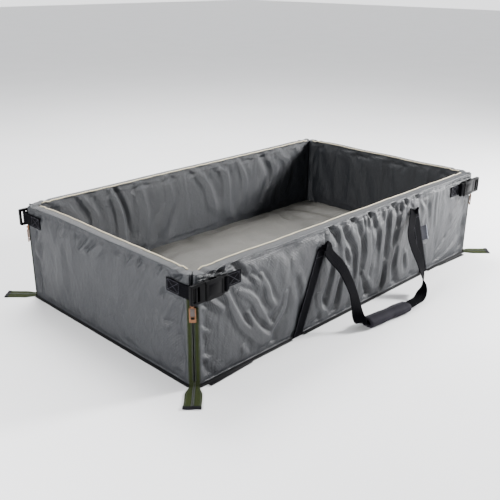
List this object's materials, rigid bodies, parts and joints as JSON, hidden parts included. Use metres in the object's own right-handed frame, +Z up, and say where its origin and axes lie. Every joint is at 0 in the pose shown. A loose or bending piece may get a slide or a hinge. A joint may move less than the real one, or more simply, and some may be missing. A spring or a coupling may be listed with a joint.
{
  "type": "fishing cradle",
  "caption": "Padded fishing cradle: foam base, four padded fabric walls that zip and buckle at the corners, webbing handle on each long side.",
  "frame": {"origin": "on the ground, under the middle of the base", "axes": "+X along the length, front long wall faces -Y, +Z up"},
  "size_m": [1.2272, 0.8798, 0.25],
  "materials": {
    "cover_fabric": "satin",
    "base_fabric": "satin",
    "foam": "matte",
    "underside_sheet": "matte",
    "black_webbing": "matte",
    "zip_tape": "matte",
    "binding_tape": "matte",
    "buckle_plastic": "satin",
    "zip_metal": "polished",
    "grip_wrap": "matte",
    "tag_fabric": "matte"
  },
  "bodies": {
    "base": {"base_underside": "underside_sheet", "base_foam": "foam", "base_cover": "base_fabric", "corner_patches": "underside_sheet", "zip_tails": "zip_tape", "zip_tail_ends": "binding_tape", "under_straps": "black_webbing"},
    "front_wall": {"wall_front_cover": "cover_fabric", "wall_front_foam": "foam", "zip_tapes_front": "zip_tape", "buckle_tabs_front": "black_webbing", "socket_fl": "buckle_plastic", "socket_fr": "buckle_plastic", "handle_legs_front": "black_webbing", "tag": "tag_fabric"},
    "rear_wall": {"wall_rear_cover": "cover_fabric", "wall_rear_foam": "foam", "zip_tapes_rear": "zip_tape", "buckle_tabs_rear": "black_webbing", "socket_rl": "buckle_plastic", "socket_rr": "buckle_plastic", "handle_legs_rear": "black_webbing"},
    "left_wall": {"wall_left_cover": "cover_fabric", "wall_left_foam": "foam", "zip_tapes_left": "zip_tape", "strap_fl": "black_webbing", "strap_rl": "black_webbing"},
    "right_wall": {"wall_right_cover": "cover_fabric", "wall_right_foam": "foam", "zip_tapes_right": "zip_tape", "strap_fr": "black_webbing", "strap_rr": "black_webbing"},
    "front_handle": {"handle_front_webbing": "black_webbing", "handle_front_grip": "grip_wrap"},
    "rear_handle": {"handle_rear_webbing": "black_webbing", "handle_rear_grip": "grip_wrap"},
    "slider_fl": {"slider_fl": "zip_metal"},
    "pull_fl": {"pull_fl": "zip_metal"},
    "plug_fl": {"plug_fl": "buckle_plastic"},
    "button_fl_upper": {"button_fl_upper": "buckle_plastic"},
    "button_fl_lower": {"button_fl_lower": "buckle_plastic"},
    "slider_fr": {"slider_fr": "zip_metal"},
    "pull_fr": {"pull_fr": "zip_metal"},
    "plug_fr": {"plug_fr": "buckle_plastic"},
    "button_fr_upper": {"button_fr_upper": "buckle_plastic"},
    "button_fr_lower": {"button_fr_lower": "buckle_plastic"},
    "slider_rl": {"slider_rl": "zip_metal"},
    "pull_rl": {"pull_rl": "zip_metal"},
    "plug_rl": {"plug_rl": "buckle_plastic"},
    "button_rl_upper": {"button_rl_upper": "buckle_plastic"},
    "button_rl_lower": {"button_rl_lower": "buckle_plastic"},
    "slider_rr": {"slider_rr": "zip_metal"},
    "pull_rr": {"pull_rr": "zip_metal"},
    "plug_rr": {"plug_rr": "buckle_plastic"},
    "button_rr_upper": {"button_rr_upper": "buckle_plastic"},
    "button_rr_lower": {"button_rr_lower": "buckle_plastic"}
  },
  "joints": [
    {"name": "front_wall_fold", "type": "hinge", "parent": "base", "child": "front_wall", "pos_m": [0, -0.32, 0.0028], "axis": [1, 0, 0], "range_deg": [0, 90]},
    {"name": "rear_wall_fold", "type": "hinge", "parent": "base", "child": "rear_wall", "pos_m": [0, 0.32, 0.0028], "axis": [-1, 0, 0], "range_deg": [0, 90]},
    {"name": "left_wall_fold", "type": "hinge", "parent": "base", "child": "left_wall", "pos_m": [-0.55, 0, 0.0028], "axis": [0, -1, 0], "range_deg": [0, 90]},
    {"name": "right_wall_fold", "type": "hinge", "parent": "base", "child": "right_wall", "pos_m": [0.55, 0, 0.0028], "axis": [0, 1, 0], "range_deg": [0, 90]},
    {"name": "front_handle_swing", "type": "hinge", "parent": "front_wall", "child": "front_handle", "pos_m": [0.04, -0.3232, 0.199], "axis": [-1, 0, 0], "range_deg": [0, 150]},
    {"name": "rear_handle_swing", "type": "hinge", "parent": "rear_wall", "child": "rear_handle", "pos_m": [0.04, 0.3232, 0.199], "axis": [1, 0, 0], "range_deg": [0, 150]},
    {"name": "zip_fl_run", "type": "slide", "parent": "left_wall", "child": "slider_fl", "axis": [0, 0, -1], "range_m": [0, 0.145]},
    {"name": "pull_fl_lift", "type": "hinge", "parent": "slider_fl", "child": "pull_fl", "pos_m": [-0.54625, -0.31625, 0.19], "axis": [-0.7071, 0.7071, 0], "range_deg": [0, 85]},
    {"name": "buckle_fl_release", "type": "slide", "parent": "front_wall", "child": "plug_fl", "axis": [-1, 0, 0], "range_m": [0, 0.04]},
    {"name": "button_fl_press", "type": "slide", "parent": "plug_fl", "child": "button_fl_upper", "axis": [0, 0, -1], "range_m": [0, 0.0025], "stiffness_N_per_m": 60},
    {"name": "button_fl_follow", "type": "slide", "parent": "plug_fl", "child": "button_fl_lower", "axis": [0, 0, 1], "range_m": [0, 0.0025], "stiffness_N_per_m": 60},
    {"name": "zip_fr_run", "type": "slide", "parent": "right_wall", "child": "slider_fr", "axis": [0, 0, -1], "range_m": [0, 0.145]},
    {"name": "pull_fr_lift", "type": "hinge", "parent": "slider_fr", "child": "pull_fr", "pos_m": [0.54625, -0.31625, 0.19], "axis": [-0.7071, -0.7071, 0], "range_deg": [0, 85]},
    {"name": "buckle_fr_release", "type": "slide", "parent": "front_wall", "child": "plug_fr", "axis": [1, 0, 0], "range_m": [0, 0.04]},
    {"name": "button_fr_press", "type": "slide", "parent": "plug_fr", "child": "button_fr_upper", "axis": [0, 0, -1], "range_m": [0, 0.0025], "stiffness_N_per_m": 60},
    {"name": "button_fr_follow", "type": "slide", "parent": "plug_fr", "child": "button_fr_lower", "axis": [0, 0, 1], "range_m": [0, 0.0025], "stiffness_N_per_m": 60},
    {"name": "zip_rl_run", "type": "slide", "parent": "left_wall", "child": "slider_rl", "axis": [0, 0, -1], "range_m": [0, 0.145]},
    {"name": "pull_rl_lift", "type": "hinge", "parent": "slider_rl", "child": "pull_rl", "pos_m": [-0.54625, 0.31625, 0.19], "axis": [0.7071, 0.7071, 0], "range_deg": [0, 85]},
    {"name": "buckle_rl_release", "type": "slide", "parent": "rear_wall", "child": "plug_rl", "axis": [-1, 0, 0], "range_m": [0, 0.04]},
    {"name": "button_rl_press", "type": "slide", "parent": "plug_rl", "child": "button_rl_upper", "axis": [0, 0, -1], "range_m": [0, 0.0025], "stiffness_N_per_m": 60},
    {"name": "button_rl_follow", "type": "slide", "parent": "plug_rl", "child": "button_rl_lower", "axis": [0, 0, 1], "range_m": [0, 0.0025], "stiffness_N_per_m": 60},
    {"name": "zip_rr_run", "type": "slide", "parent": "right_wall", "child": "slider_rr", "axis": [0, 0, -1], "range_m": [0, 0.145]},
    {"name": "pull_rr_lift", "type": "hinge", "parent": "slider_rr", "child": "pull_rr", "pos_m": [0.54625, 0.31625, 0.19], "axis": [0.7071, -0.7071, 0], "range_deg": [0, 85]},
    {"name": "buckle_rr_release", "type": "slide", "parent": "rear_wall", "child": "plug_rr", "axis": [1, 0, 0], "range_m": [0, 0.04]},
    {"name": "button_rr_press", "type": "slide", "parent": "plug_rr", "child": "button_rr_upper", "axis": [0, 0, -1], "range_m": [0, 0.0025], "stiffness_N_per_m": 60},
    {"name": "button_rr_follow", "type": "slide", "parent": "plug_rr", "child": "button_rr_lower", "axis": [0, 0, 1], "range_m": [0, 0.0025], "stiffness_N_per_m": 60}
  ],
  "couplings": [
    {"joint": "button_fl_follow", "follows": "button_fl_press", "ratio": 1},
    {"joint": "button_fr_follow", "follows": "button_fr_press", "ratio": 1},
    {"joint": "button_rl_follow", "follows": "button_rl_press", "ratio": 1},
    {"joint": "button_rr_follow", "follows": "button_rr_press", "ratio": 1}
  ]
}
